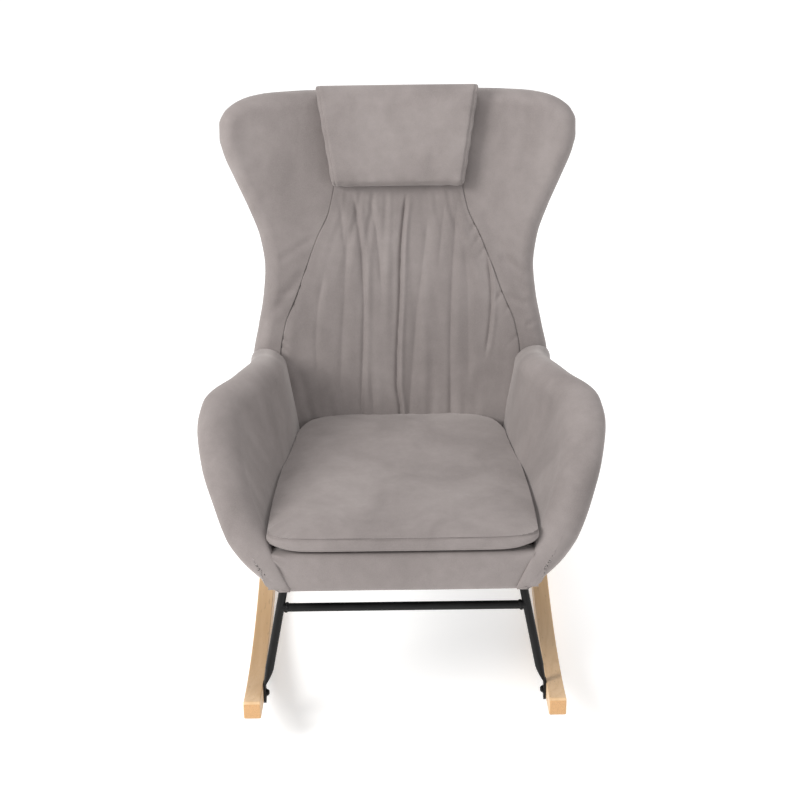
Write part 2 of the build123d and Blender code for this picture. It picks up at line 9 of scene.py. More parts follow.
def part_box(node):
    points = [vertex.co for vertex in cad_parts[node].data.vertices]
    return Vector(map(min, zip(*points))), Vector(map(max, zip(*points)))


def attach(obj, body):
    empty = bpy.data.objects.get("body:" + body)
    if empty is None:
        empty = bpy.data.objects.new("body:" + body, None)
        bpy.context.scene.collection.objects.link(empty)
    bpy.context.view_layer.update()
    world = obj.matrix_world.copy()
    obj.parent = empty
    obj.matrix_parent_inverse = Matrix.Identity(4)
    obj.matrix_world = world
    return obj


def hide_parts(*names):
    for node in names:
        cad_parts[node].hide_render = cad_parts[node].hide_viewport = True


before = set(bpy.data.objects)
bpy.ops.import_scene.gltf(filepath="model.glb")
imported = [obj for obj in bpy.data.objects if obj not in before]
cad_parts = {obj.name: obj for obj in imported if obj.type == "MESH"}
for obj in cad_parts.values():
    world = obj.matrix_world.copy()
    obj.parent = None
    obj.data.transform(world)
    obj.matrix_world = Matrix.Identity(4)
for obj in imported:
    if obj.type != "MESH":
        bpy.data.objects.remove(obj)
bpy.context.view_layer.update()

# ---------------------------------------------------------------- sizes shared with the frame, in metres

RECLINE = math.radians(19.0)
BACK_FOOT_Y = 0.164
BACK_FOOT_Z = 0.406
BACK_THICKNESS = 0.078
FRONT_LAYER = 0.049
BACK_BOTTOM_H = -0.110
CENTRE_BOTTOM_H = -0.055
BACK_TOP_H = 0.672
BACK_HALF_WIDTH = [(-0.110, 0.255), (-0.040, 0.272), (0.020, 0.287), (0.070, 0.300), (0.120, 0.306),
                   (0.190, 0.294), (0.250, 0.283), (0.310, 0.278), (0.370, 0.286), (0.430, 0.307),
                   (0.490, 0.333), (0.550, 0.357), (0.580, 0.363), (0.606, 0.363), (0.630, 0.353),
                   (0.645, 0.337), (0.658, 0.312), (0.667, 0.272), (0.671, 0.205), (0.672, 0.166)]
PANEL_SEAM = [(-0.110, 0.214), (-0.040, 0.214), (0.020, 0.228), (0.070, 0.238), (0.120, 0.249),
              (0.190, 0.238), (0.250, 0.214), (0.310, 0.192), (0.370, 0.169), (0.430, 0.142),
              (0.490, 0.132), (0.550, 0.141), (0.600, 0.150), (0.645, 0.158), (0.672, 0.162)]
WING_FORWARD = [(-0.110, 0.030), (0.200, 0.045), (0.400, 0.050), (0.670, 0.070)]
WING_REFERENCE = 0.360
SEAT_TILT = math.radians(3.6)
SEAT_FRONT_Y = -0.380
SEAT_BOTTOM_Z = 0.332
CUSHION_BOTTOM = 0.078
CUSHION_BORDER = 0.028
CUSHION_CROWN = 0.014
CUSHION_MIDDLE_Y = -0.110
CUSHION_OUTLINE = [(0.000, -0.389), (0.150, -0.3885), (0.215, -0.386), (0.243, -0.379), (0.256, -0.358),
                   (0.2555, -0.320), (0.2515, -0.232), (0.2405, -0.105), (0.2315, -0.035), (0.2215, 0.030),
                   (0.211, 0.085), (0.188, 0.132), (0.150, 0.152), (0.100, 0.158), (0.000, 0.160)]
APRON_BOTTOM = -0.013
APRON_TOP = 0.071
HEAD_PAD_H = (0.476, 0.682)
HEAD_PAD_HALF_WIDTH = (0.135, 0.167)

ARM_THICKNESS = 0.072
ARM_RIM = [(-0.394, 0.335), (-0.392, 0.372), (-0.372, 0.424), (-0.335, 0.478), (-0.285, 0.530),
           (-0.225, 0.574), (-0.160, 0.600), (-0.080, 0.611), (0.000, 0.604), (0.080, 0.586),
           (0.130, 0.568), (0.200, 0.546), (0.245, 0.532)]
ARM_BASE_X = [(-0.400, 0.258), (-0.300, 0.262), (-0.150, 0.256), (-0.020, 0.248), (0.080, 0.243),
              (0.200, 0.241)]
ARM_LEAN = [(-0.400, 0.420), (-0.300, 0.450), (-0.215, 0.435), (-0.125, 0.395), (-0.035, 0.235),
            (0.075, 0.140), (0.200, 0.190)]
ARM_BASE_Z = 0.340
ARM_ROUND = 0.034
ARM_TUCK = 0.040
PANEL_COVER = 0.0088

RIM_RADIUS = 0.032
SEAM_RADIUS = {1: 0.0045, -1: 0.0022}
SEAM_DEPTH = {1: 0.0026, -1: 0.0010}
LAYER_GAP = 0.0002

WELD_AROUND = 48
WELD_BEAD = 10
WELD_INSET = 0.0125


# ---------------------------------------------------------------- numbers

def curve(table, at):
    """Smooth curve through a table of (place, value), with no overshoot."""
    xs, ys = np.array(table).T
    at = np.clip(at, xs[0], xs[-1])
    run = np.diff(xs)
    rise = np.diff(ys) / run
    slope = np.zeros(len(xs))
    same = rise[1:] * rise[:-1] > 0
    slope[1:-1][same] = 2 * (rise[1:] * rise[:-1])[same] / (rise[1:] + rise[:-1])[same]
    slope[0], slope[-1] = rise[0], rise[-1]
    i = np.clip(np.searchsorted(xs, at, side="right") - 1, 0, len(xs) - 2)
    t = (at - xs[i]) / run[i]
    return ((2 * t**3 - 3 * t**2 + 1) * ys[i] + (t**3 - 2 * t**2 + t) * run[i] * slope[i]
            + (3 * t**2 - 2 * t**3) * ys[i + 1] + (t**3 - t**2) * run[i] * slope[i + 1])


def rise_between(low, high, value):
    t = np.clip((value - low) / (high - low), 0.0, 1.0)
    return t * t * (3 - 2 * t)


def rounded(distance, radius):
    """0 at an edge, 1 once radius away from it, on a quarter circle."""
    return np.sqrt(np.clip(1 - (1 - np.clip(distance / radius, 0, 1)) ** 2, 0, 1))


def distance_to(path, x, h):
    """Distance of points (x, h) to a line of points."""
    path = np.array(path)
    best = np.full(x.shape, 9.0)
    for a, b in zip(path[:-1], path[1:]):
        run = b - a
        t = np.clip(((x - a[0]) * run[0] + (h - a[1]) * run[1]) / max(run @ run, 1e-12), 0, 1)
        best = np.minimum(best, np.hypot(x - a[0] - t * run[0], h - a[1] - t * run[1]))
    return best


# ---------------------------------------------------------------- mesh helpers

def add_object(name, mesh, material):
    obj = bpy.data.objects.new(name, mesh)
    bpy.context.scene.collection.objects.link(obj)
    mesh.materials.clear()
    mesh.materials.append(material)
    mesh.shade_smooth()
    return obj


def ring_mesh(name, rings, material):
    """Closed skin over rings, an array of rings x points x 3, with a cap on both ends."""
    count, around = rings.shape[:2]
    faces = []
    for i in range(count - 1):
        for j in range(around):
            k = (j + 1) % around
            faces.append((i * around + j, i * around + k, (i + 1) * around + k, (i + 1) * around + j))
    faces.append(tuple(reversed(range(around))))
    faces.append(tuple((count - 1) * around + j for j in range(around)))
    mesh = bpy.data.meshes.new(name)
    mesh.from_pydata(rings.reshape(-1, 3).tolist(), [], faces)
    tidy = bmesh.new()
    tidy.from_mesh(mesh)
    bmesh.ops.remove_doubles(tidy, verts=tidy.verts, dist=1e-6)
    bmesh.ops.recalc_face_normals(tidy, faces=tidy.faces)
    tidy.to_mesh(mesh)
    tidy.free()
    return add_object(name, mesh, material)


def evaluated_mesh(obj):
    graph = bpy.context.evaluated_depsgraph_get()
    return bpy.data.meshes.new_from_object(obj.evaluated_get(graph))


def soft_copy(name, node, material, voxel=0.005, smoothing=10, fine=1):
    """Copy of a CAD soft solid with an even mesh and eased edges."""
    work = bpy.data.objects.new("work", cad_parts[node].data.copy())
    bpy.context.scene.collection.objects.link(work)
    remesh = work.modifiers.new("remesh", "REMESH")
    remesh.mode = "VOXEL"
    remesh.voxel_size = voxel
    smooth = work.modifiers.new("smooth", "SMOOTH")
    smooth.factor = 0.5
    smooth.iterations = smoothing
    mesh = evaluated_mesh(work)
    bpy.data.objects.remove(work)
    obj = add_object(name, mesh, material)
    if fine:
        refine(obj, fine)
    return obj


def refine(obj, levels):
    """Subdivides the mesh smoothly and keeps the result as its mesh."""
    subdivision = obj.modifiers.new("fine", "SUBSURF")
    subdivision.levels = levels
    subdivision.render_levels = levels
    mesh = evaluated_mesh(obj)
    obj.modifiers.clear()
    obj.data = mesh
    mesh.shade_smooth()


def points_of(obj):
    flat = np.empty(len(obj.data.vertices) * 3)
    obj.data.vertices.foreach_get("co", flat)
    return flat.reshape(-1, 3)


def normals_of(obj):
    flat = np.empty(len(obj.data.vertices) * 3)
    obj.data.vertices.foreach_get("normal", flat)
    return flat.reshape(-1, 3)


def set_points(obj, points):
    obj.data.vertices.foreach_set("co", points.reshape(-1))
    obj.data.update()


def push(obj, amount):
    """Moves every vertex along its normal by amount, an array of metres."""
    set_points(obj, points_of(obj) + normals_of(obj) * amount[:, None])


# ---------------------------------------------------------------- materials

def new_material(name, roughness, metallic=0.0):
    material = bpy.data.materials.new(name)
    material.use_nodes = True
    tree = material.node_tree
    shader = next(n for n in tree.nodes if n.type == "BSDF_PRINCIPLED")
    shader.inputs["Roughness"].default_value = roughness
    shader.inputs["Metallic"].default_value = metallic
    return material, tree, shader


def add_node(tree, kind, **settings):
    node = tree.nodes.new(kind)
    for key, value in settings.items():
        if hasattr(node, key):
            setattr(node, key, value)
        else:
            node.inputs[key.replace("_", " ")].default_value = value
    return node


def object_place(tree, scale=(1, 1, 1), rotation=(0, 0, 0)):
    place = add_node(tree, "ShaderNodeTexCoord")
    mapping = add_node(tree, "ShaderNodeMapping")
    mapping.inputs["Scale"].default_value = scale
    mapping.inputs["Rotation"].default_value = rotation
    tree.links.new(place.outputs["Object"], mapping.inputs["Vector"])
    return mapping.outputs["Vector"]


def noise(tree, vector, scale, detail=3.0, roughness=0.5, distortion=0.0):
    node = add_node(tree, "ShaderNodeTexNoise", Scale=scale, Detail=detail, Roughness=roughness,
                    Distortion=distortion)
    tree.links.new(vector, node.inputs["Vector"])
    return node.outputs["Fac"]


def ramp(tree, value, stops):
    node = add_node(tree, "ShaderNodeValToRGB")
    elements = node.color_ramp.elements
    while len(elements) < len(stops):
        elements.new(0.5)
    for element, (place, colour) in zip(elements, stops):
        element.position = place
        element.color = (*colour, 1.0)
    tree.links.new(value, node.inputs["Fac"])
    return node.outputs["Color"]


def spread(tree, value, low, high, from_low=0.3, from_high=0.7):
    node = add_node(tree, "ShaderNodeMapRange")
    for key, number in (("From Min", from_low), ("From Max", from_high), ("To Min", low), ("To Max", high)):
        node.inputs[key].default_value = number
    tree.links.new(value, node.inputs["Value"])
    return node.outputs["Result"]


def mixed(tree, factor, first, second, blend="MIX"):
    node = add_node(tree, "ShaderNodeMix", data_type="RGBA", blend_type=blend)
    for socket, value in ((node.inputs[0], factor), (node.inputs[6], first), (node.inputs[7], second)):
        if hasattr(value, "is_linked"):
            tree.links.new(value, socket)
        else:
            socket.default_value = value if isinstance(value, float) else (*value, 1.0)
    return node.outputs[2]


def bump(tree, shader, height, strength, distance):
    node = add_node(tree, "ShaderNodeBump", Strength=strength, Distance=distance)
    tree.links.new(height, node.inputs["Height"])
    previous = shader.inputs["Normal"]
    if previous.is_linked:
        tree.links.new(previous.links[0].from_socket, node.inputs["Normal"])
    tree.links.new(node.outputs["Normal"], previous)


def velvet(name, dark, light, rub):
    """Short velvet pile: soft lighter and darker strokes, a fine nap and sheen."""
    material, tree, shader = new_material(name, 0.9)
    place = object_place(tree)
    slanted = object_place(tree, scale=(1.0, 1.0, 0.55), rotation=(0.2, 0.1, 0.5))
    strokes = noise(tree, slanted, 7.0, 3.0, 0.55, 0.6)
    nap = noise(tree, place, 42.0, 4.0, 0.6)
    pile = noise(tree, place, 620.0, 2.0, 0.7)
    base = ramp(tree, strokes, [(0.30, dark), (0.52, light), (0.75, rub)])
    base = mixed(tree, spread(tree, nap, 0.0, 0.22), base, [c * 0.82 for c in dark])
    base = mixed(tree, spread(tree, pile, 0.0, 0.25, 0.35, 0.65), base, [c * 1.15 for c in rub])
    tree.links.new(base, shader.inputs["Base Color"])
    tree.links.new(spread(tree, nap, 0.78, 0.96), shader.inputs["Roughness"])
    shader.inputs["Specular IOR Level"].default_value = 0.25
    shader.inputs["Sheen Weight"].default_value = 0.32
    shader.inputs["Sheen Roughness"].default_value = 0.45
    shader.inputs["Sheen Tint"].default_value = (0.95, 0.90, 0.88, 1.0)
    bump(tree, shader, nap, 0.25, 0.0012)
    bump(tree, shader, pile, 0.35, 0.0004)
    return material


def beech(name, light, dark, end_tone):
    """Beech with long growth rings, short dark flecks and open end grain."""
    material, tree, shader = new_material(name, 0.45)
    along = object_place(tree, scale=(1.0, 0.045, 1.0))
    drift = noise(tree, along, 14.0, 3.0, 0.5, 1.2)
    rings = add_node(tree, "ShaderNodeTexWave", wave_type="BANDS", bands_direction="DIAGONAL", Scale=34.0,
                     Distortion=7.0, Detail=3.0)
    rings.inputs["Detail Scale"].default_value = 1.4
    tree.links.new(along, rings.inputs["Vector"])
    fibre = noise(tree, object_place(tree, scale=(1.0, 0.02, 1.0)), 420.0, 3.0, 0.6)
    fleck = noise(tree, object_place(tree, scale=(1.0, 0.12, 1.0)), 260.0, 1.0, 0.5)
    base = ramp(tree, drift, [(0.3, dark), (0.7, light)])
    base = mixed(tree, spread(tree, rings.outputs["Fac"], 0.0, 0.34, 0.55, 1.0), base, dark)
    base = mixed(tree, spread(tree, fleck, 0.0, 0.35, 0.66, 0.74), base, [c * 0.55 for c in dark])
    normal = add_node(tree, "ShaderNodeNewGeometry")
    split = add_node(tree, "ShaderNodeSeparateXYZ")
    tree.links.new(normal.outputs["Normal"], split.inputs["Vector"])
    facing = add_node(tree, "ShaderNodeMath", operation="ABSOLUTE")
    tree.links.new(split.outputs["Y"], facing.inputs[0])
    pores = noise(tree, object_place(tree, scale=(1.0, 0.05, 1.0)), 900.0, 2.0, 0.7)
    end = ramp(tree, pores, [(0.35, [c * 0.72 for c in end_tone]), (0.6, end_tone)])
    base = mixed(tree, spread(tree, facing.outputs[0], 0.0, 1.0, 0.80, 0.93), base, end)
    tree.links.new(base, shader.inputs["Base Color"])
    tree.links.new(spread(tree, fibre, 0.38, 0.56), shader.inputs["Roughness"])
    shader.inputs["Coat Weight"].default_value = 0.12
    shader.inputs["Coat Roughness"].default_value = 0.35
    bump(tree, shader, fibre, 0.25, 0.0003)
    bump(tree, shader, rings.outputs["Fac"], 0.08, 0.0003)
    return material


def black_paint(name):
    """Satin black powder coat with a fine orange peel and dust."""
    material, tree, shader = new_material(name, 0.42)
    place = object_place(tree)
    peel = noise(tree, place, 900.0, 2.0, 0.5)
    dust = noise(tree, place, 30.0, 5.0, 0.7)
    base = ramp(tree, dust, [(0.35, (0.004, 0.004, 0.0042)), (0.75, (0.009, 0.009, 0.0095))])
    tree.links.new(base, shader.inputs["Base Color"])
    tree.links.new(spread(tree, dust, 0.36, 0.55), shader.inputs["Roughness"])
    shader.inputs["Specular IOR Level"].default_value = 0.22
    bump(tree, shader, peel, 0.25, 0.00025)
    return material


def zinc(name):
    """Bright zinc plating with brushed scratches."""
    material, tree, shader = new_material(name, 0.35, 1.0)
    scratches = noise(tree, object_place(tree, scale=(1.0, 1.0, 0.1)), 700.0, 3.0, 0.6)
    base = ramp(tree, scratches, [(0.3, (0.42, 0.42, 0.41)), (0.7, (0.66, 0.67, 0.68))])
    tree.links.new(base, shader.inputs["Base Color"])
    tree.links.new(spread(tree, scratches, 0.25, 0.5), shader.inputs["Roughness"])
    bump(tree, shader, scratches, 0.15, 0.0002)
    return material


def plywood(name, light, dark):
    """Raw frame timber: straight grain, rough, a little uneven."""
    material, tree, shader = new_material(name, 0.7)
    grain = noise(tree, object_place(tree, scale=(0.06, 1.0, 1.0)), 160.0, 4.0, 0.6, 0.8)
    stain = noise(tree, object_place(tree), 9.0, 3.0, 0.5)
    base = mixed(tree, spread(tree, stain, 0.0, 0.4), ramp(tree, grain, [(0.3, dark), (0.7, light)]), dark)
    tree.links.new(base, shader.inputs["Base Color"])
    tree.links.new(spread(tree, grain, 0.6, 0.85), shader.inputs["Roughness"])
    bump(tree, shader, grain, 0.4, 0.0005)
    return material


def cloth_weave(name, colour, threads, depth):
    """Plain weave from two crossed thread waves, threads to the metre."""
    material, tree, shader = new_material(name, 0.9)
    place = object_place(tree)
    heights = []
    for direction in ("X", "Y"):
        wave = add_node(tree, "ShaderNodeTexWave", wave_type="BANDS", bands_direction=direction,
                        Scale=threads / 20.0, Distortion=0.6, Detail=1.0)
        tree.links.new(place, wave.inputs["Vector"])
        heights.append(wave.outputs["Fac"])
    both = add_node(tree, "ShaderNodeMath", operation="MAXIMUM")
    tree.links.new(heights[0], both.inputs[0])
    tree.links.new(heights[1], both.inputs[1])
    fuzz = noise(tree, place, 55.0, 4.0, 0.6)
    base = mixed(tree, both.outputs[0], [c * 0.45 for c in colour], colour)
    base = mixed(tree, spread(tree, fuzz, 0.0, 0.5), base, [min(c * 1.7 + 0.004, 1.0) for c in colour])
    tree.links.new(base, shader.inputs["Base Color"])
    tree.links.new(spread(tree, fuzz, 0.8, 0.98), shader.inputs["Roughness"])
    bump(tree, shader, both.outputs[0], 0.5, depth)
    return material


VELVET = velvet("velvet_taupe", (0.174, 0.153, 0.148), (0.226, 0.200, 0.194), (0.266, 0.238, 0.231))
BEECH = beech("beech_oiled", (0.72, 0.50, 0.29), (0.57, 0.36, 0.18), (0.62, 0.35, 0.15))
BLACK = black_paint("black_powder_coat")
ZINC = zinc("zinc_plated")
FELT = cloth_weave("felt_strip", (0.03, 0.03, 0.032), 900.0, 0.0004)
TIMBER = plywood("frame_timber", (0.60, 0.45, 0.29), (0.42, 0.29, 0.17))
WEBBING = cloth_weave("elastic_webbing", (0.07, 0.07, 0.075), 700.0, 0.0006)
DUST_CLOTH = cloth_weave("dust_cloth", (0.018, 0.018, 0.019), 1400.0, 0.0002)
DECK_CLOTH = cloth_weave("deck_cloth", (0.06, 0.055, 0.053), 1100.0, 0.0003)

CARRIED = {
    "rocker_left": BEECH, "rocker_right": BEECH, "glide_strips": FELT,
    "webbing_lengthwise": WEBBING, "webbing_crosswise": WEBBING,
}
for part in ("front_leg_left", "front_leg_right", "rear_leg_left", "rear_leg_right", "front_crossbar",
             "rear_crossbar", "front_mount_plate", "rear_mount_plate", "rocker_bolts", "rocker_washers"):
    CARRIED[part] = BLACK
for part in ("rocker_inserts", "plate_bolts", "plate_tee_nuts", "arm_bolts", "back_bolts"):
    CARRIED[part] = ZINC
for part in ("seat_front_rail", "seat_rear_rail", "seat_side_rail_left", "seat_side_rail_right",
             "corner_blocks", "arm_panel_left", "arm_panel_right", "back_board"):
    CARRIED[part] = TIMBER
for part, finish in CARRIED.items():
    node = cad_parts[part]
    node.data.materials.clear()
    node.data.materials.append(finish)


def stand_for(obj, node, body="frame"):
    """A padded piece that stands for a CAD soft solid."""
    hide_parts(node)
    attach(obj, body)


# ---------------------------------------------------------------- back

def half_width(h):
    return curve(BACK_HALF_WIDTH, h)


def seam_x(h):
    return curve(PANEL_SEAM, h)


def back_place(x, h, n):
    """Point of the back: x across, h up the middle of the front face, n out of that face."""
    forward = n + curve(WING_FORWARD, h) * (np.abs(x) / WING_REFERENCE) ** 2
    y = BACK_FOOT_Y + h * math.sin(RECLINE) - forward * math.cos(RECLINE)
    z = BACK_FOOT_Z + h * math.cos(RECLINE) + forward * math.sin(RECLINE)
    return np.stack([x, y, z], -1)


def back_outline():
    heights = np.concatenate([np.linspace(BACK_BOTTOM_H, 0.6, 60), np.linspace(0.605, BACK_TOP_H, 30)])
    side = [(float(half_width(h)), h) for h in heights]
    return side + [(0.0, BACK_TOP_H + 0.0003)]


OUTLINE = back_outline()
MIDDLE_N = -BACK_THICKNESS / 2


def rim_share(x, h):
    """0 on the outline of the back, 1 further in than the rim's rounding."""
    return rounded(distance_to(OUTLINE, np.abs(x), h), RIM_RADIUS)


def row_heights(low, straight, top_rows=26):
    """Rows from low to the top, closer together where the top edge rounds over."""
    turn = 0.600
    plain = np.linspace(low, turn, straight, endpoint=False)
    over = turn + (BACK_TOP_H - turn) * np.sin(np.linspace(0, math.pi / 2, top_rows))
    return np.concatenate([plain, over])


def eased(count):
    """Shares from 0 to 1, closer together at both ends."""
    return (1 - np.cos(np.linspace(0, math.pi, count))) / 2


# Gathers of the centre panel: (depth, half width, [(h, x), ...]) from the seat up, all in metres.
GATHERS = [
    (0.0080, 0.0034, [(-0.055, -0.002), (0.003, -0.002), (0.060, -0.008), (0.138, -0.006), (0.240, 0.000),
                      (0.330, 0.003), (0.410, 0.010), (0.462, 0.017)]),
    (0.0048, 0.0042, [(-0.055, -0.082), (0.004, -0.082), (0.139, -0.077), (0.240, -0.074), (0.321, -0.076),
                      (0.400, -0.084), (0.462, -0.093)]),
    (0.0026, 0.0045, [(-0.055, -0.056), (0.030, -0.058), (0.085, -0.062)]),
    (0.0032, 0.0080, [(-0.055, 0.014), (0.080, 0.024), (0.200, 0.035), (0.320, 0.050), (0.420, 0.062)]),
    (0.0040, 0.0060, [(-0.030, 0.104), (0.090, 0.104), (0.220, 0.107), (0.330, 0.113), (0.440, 0.121)]),
    (0.0056, 0.0030, [(0.115, 0.176), (0.160, 0.183), (0.205, 0.188), (0.250, 0.190), (0.300, 0.186),
                      (0.345, 0.180)]),
    (0.0026, 0.0070, [(0.000, -0.128), (0.140, -0.122), (0.280, -0.112), (0.400, -0.106)]),
    (0.0022, 0.0065, [(0.050, -0.172), (0.150, -0.175), (0.220, -0.170), (0.300, -0.155)]),
    (0.0022, 0.0075, [(0.060, 0.142), (0.240, 0.142), (0.350, 0.134)]),
    (0.0028, 0.0050, [(0.250, -0.036), (0.350, -0.043), (0.455, -0.058)]),
    (0.0020, 0.0050, [(0.300, 0.080), (0.455, 0.097)]),
    (0.0022, 0.0050, [(0.330, -0.110), (0.455, -0.122)]),
]
# Short puckers along the two panel seams: (h, length along x, depth), right side then left side.
PUCKERS_RIGHT = [(0.395, 0.020, 0.0035), (0.372, 0.026, 0.0030), (0.347, 0.020, 0.0028),
                 (0.255, 0.026, 0.0032), (0.225, 0.018, 0.0022), (0.165, 0.020, 0.0020)]
PUCKERS_LEFT = [(0.272, 0.024, 0.0022), (0.235, 0.028, 0.0024), (0.165, 0.024, 0.0026),
                (0.148, 0.022, 0.0022), (0.132, 0.020, 0.0022)]


# Waist wrinkles of the right (1) and left (-1) wing: (depth, half width, start, end), ends as (x, h).
WING_CREASES = {
    1: [(0.0018, 0.009, (0.255, 0.258), (0.180, 0.405)),
        (0.0015, 0.007, (0.262, 0.290), (0.215, 0.325)),
        (0.0012, 0.006, (0.258, 0.232), (0.215, 0.246)),
        (0.0022, 0.004, (0.285, 0.196), (0.264, 0.186))],
    -1: [(0.0014, 0.009, (0.262, 0.222), (0.204, 0.292)),
         (0.0012, 0.007, (0.240, 0.330), (0.185, 0.365)),
         (0.0009, 0.006, (0.262, 0.255), (0.225, 0.262))],
}


def groove(x, h, depth, width, path):
    """Fold along a path that climbs the back: a sharp valley with a soft ridge on its right."""
    hs = [place[0] for place in path]
    across = x - curve(path, h)
    fade = 1 - rise_between(hs[-1] - 0.045, hs[-1] + 0.005, h)
    if hs[0] > CENTRE_BOTTOM_H:
        fade = fade * rise_between(hs[0] - 0.005, hs[0] + 0.045, h)
    valley = np.exp(-np.abs(across / width) ** 1.3)
    ridge = np.exp(-((across - 2.4 * width) / (1.8 * width)) ** 2)
    return fade * depth * (0.45 * ridge - valley)


def puckers(x, h, side, table):
    """Short creases that run off a seam, slanting down and away from it."""
    total = np.zeros(x.shape)
    for at, length, depth in table:
        away = seam_x(h) - side * x
        slant = h - at + 0.9 * away
        total -= depth * np.exp(-(slant / 0.0035) ** 2) * np.exp(-(away / length) ** 2)
    return total


def centre_relief(x, h):
    total = np.zeros(x.shape)
    for depth, width, path in GATHERS:
        total += groove(x, h, depth, width, path)
    total += puckers(x, h, 1, PUCKERS_RIGHT) * (x > 0) + puckers(x, h, -1, PUCKERS_LEFT) * (x < 0)
    fan = x / seam_x(h)
    gather = np.sin(33 * fan + 1.6 * np.sin(5 * h + 2)) + 0.4 * np.sin(61 * fan + 3 * np.sin(4 * h))
    total += 0.0010 * gather * (0.6 + 0.4 * np.sin(5 * fan + 8 * h))
    under_pad = rise_between(0.450, 0.475, h)
    return total * (1 - under_pad) - 0.0012 * under_pad


def wing_relief(x, h, side):
    """Soft waist wrinkles on a wing; side is 1 for the right wing."""
    total = np.zeros(x.shape)
    for depth, width, start, end in WING_CREASES[side]:
        near = distance_to([start, end], np.abs(x), h)
        total -= depth * np.exp(-(near / width) ** 2)
        total += 0.5 * depth * np.exp(-((near - 2 * width) / width) ** 2)
    return total + 0.0010 * np.sin(x * 60 + h * 34) * np.sin(h * 21 - x * 18)


def seam_dip(away, side):
    """How far a cover dips beside a panel seam; side is 1 for the right seam."""
    return SEAM_DEPTH[side] * (1 - rounded(away, SEAM_RADIUS[side]))


def ring_of(x_front, n_front, x_back, n_back, h):
    """One closed ring of the back at height h: front points, then rear points."""
    x = np.concatenate([x_front, x_back])
    n = np.concatenate([n_front, n_back])
    return back_place(x, np.full(x.shape, h), n)


def side_steps(top, bottom, count):
    return np.linspace(top, bottom, count + 2)[1:-1]


def centre_panel():
    rings = []
    rear = -FRONT_LAYER + LAYER_GAP
    for h in row_heights(CENTRE_BOTTOM_H, 150):
        half = float(seam_x(h)) - LAYER_GAP
        x = np.linspace(-half, half, 230)
        hs = np.full(x.shape, h)
        dip = seam_dip(half - x, 1) + seam_dip(half + x, -1)
        n = MIDDLE_N - MIDDLE_N * rim_share(x, hs) + centre_relief(x, hs) - dip
        n = np.maximum(n, rear + 0.001)
        right = side_steps(n[-1], rear, 3)
        left = side_steps(rear, n[0], 3)
        back_x = np.concatenate([np.full(3, half), np.linspace(half, -half, 24), np.full(3, -half)])
        back_n = np.concatenate([right, np.full(24, rear), left])
        rings.append(ring_of(x, n, back_x, back_n, h))
    obj = ring_mesh("centre_panel_cover", np.array(rings), VELVET)
    stand_for(obj, "back_centre_pad")


def wing(side, name, node):
    rings = []
    rear = -FRONT_LAYER + LAYER_GAP
    for h in row_heights(BACK_BOTTOM_H, 130):
        inner = float(seam_x(h)) + LAYER_GAP
        outer = max(float(half_width(h)), inner + 0.002)
        x = inner + (outer - inner) * eased(90)
        hs = np.full(x.shape, h)
        share = rim_share(x, hs)
        n = MIDDLE_N - MIDDLE_N * share + wing_relief(x * side, hs, side) * share - seam_dip(x - inner, side)
        n = np.maximum(n, rear + 0.001)
        far = outer - 0.002 * rounded(np.linspace(0, 1, 5)[1:-1], 1.0)
        rim_n = side_steps(n[-1], rear, 3)
        back_x = np.concatenate([far, np.linspace(outer - 0.003, inner, 16), np.full(3, inner)])
        back_n = np.concatenate([rim_n, np.full(16, rear), side_steps(rear, n[0], 3)])
        rings.append(ring_of(side * x, n, side * back_x, back_n, h))
    obj = ring_mesh(name, np.array(rings), VELVET)
    stand_for(obj, node)


def outside_back():
    rings = []
    front = -FRONT_LAYER - LAYER_GAP
    for h in row_heights(BACK_BOTTOM_H, 90):
        half = float(half_width(h)) - 0.0012
        x = half * np.sin(np.linspace(math.pi / 2, -math.pi / 2, 150))
        hs = np.full(x.shape, h)
        share = rim_share(x, hs) * rounded(h - BACK_BOTTOM_H + 0.004, 0.020)
        n = MIDDLE_N + MIDDLE_N * share
        n += 0.0008 * np.sin(x * 31 + h * 7) * np.sin(h * 17 + 2.0) * share
        n = np.minimum(n, front - 0.001)
        front_x = np.linspace(-half + 0.002, half - 0.002, 24)
        rings.append(ring_of(x, n, front_x, np.full(24, front), h))
    obj = ring_mesh("outside_back_cover", np.array(rings), VELVET)
    stand_for(obj, "back_rear_cover")


# ---------------------------------------------------------------- head pad

def back_coordinates(points):
    """(x, h, n) of points in the frame, the reverse of back_place."""
    x = points[:, 0]
    y = points[:, 1] - BACK_FOOT_Y
    z = points[:, 2] - BACK_FOOT_Z
    h = y * math.sin(RECLINE) + z * math.cos(RECLINE)
    forward = z * math.sin(RECLINE) - y * math.cos(RECLINE)
    n = forward - curve(WING_FORWARD, h) * (np.abs(x) / WING_REFERENCE) ** 2
    return x, h, n


def head_cushion():
    obj = soft_copy("head_cushion", "head_pad", VELVET, voxel=0.004, smoothing=8)
    x, h, n = back_coordinates(points_of(obj))
    up = np.clip((h - HEAD_PAD_H[0]) / (HEAD_PAD_H[1] - HEAD_PAD_H[0]), 0, 1)
    half = HEAD_PAD_HALF_WIDTH[0] + up * (HEAD_PAD_HALF_WIDTH[1] - HEAD_PAD_HALF_WIDTH[0])
    from_side = half - np.abs(x)
    front = rise_between(0.010, 0.030, n)
    crown = 0.004 * rise_between(0.0, 0.05, from_side)
    crown = crown * rise_between(0.0, 0.2, up) * rise_between(0.0, 0.2, 1 - up)
    seam = -0.0022 * np.exp(-((from_side - 0.0065) / 0.0022) ** 2)
    wobble = 0.0008 * np.sin(h * 150 + 2 * np.sin(x * 40)) * np.exp(-(from_side / 0.02) ** 2)
    wobble += 0.0010 * np.sin(x * 170) * np.exp(-(up / 0.08) ** 2) * rise_between(0.06, 0.12, np.abs(x))
    push(obj, front * (crown + seam + wobble) - 0.0005)
    stand_for(obj, "head_pad")


# ---------------------------------------------------------------- seat and arms

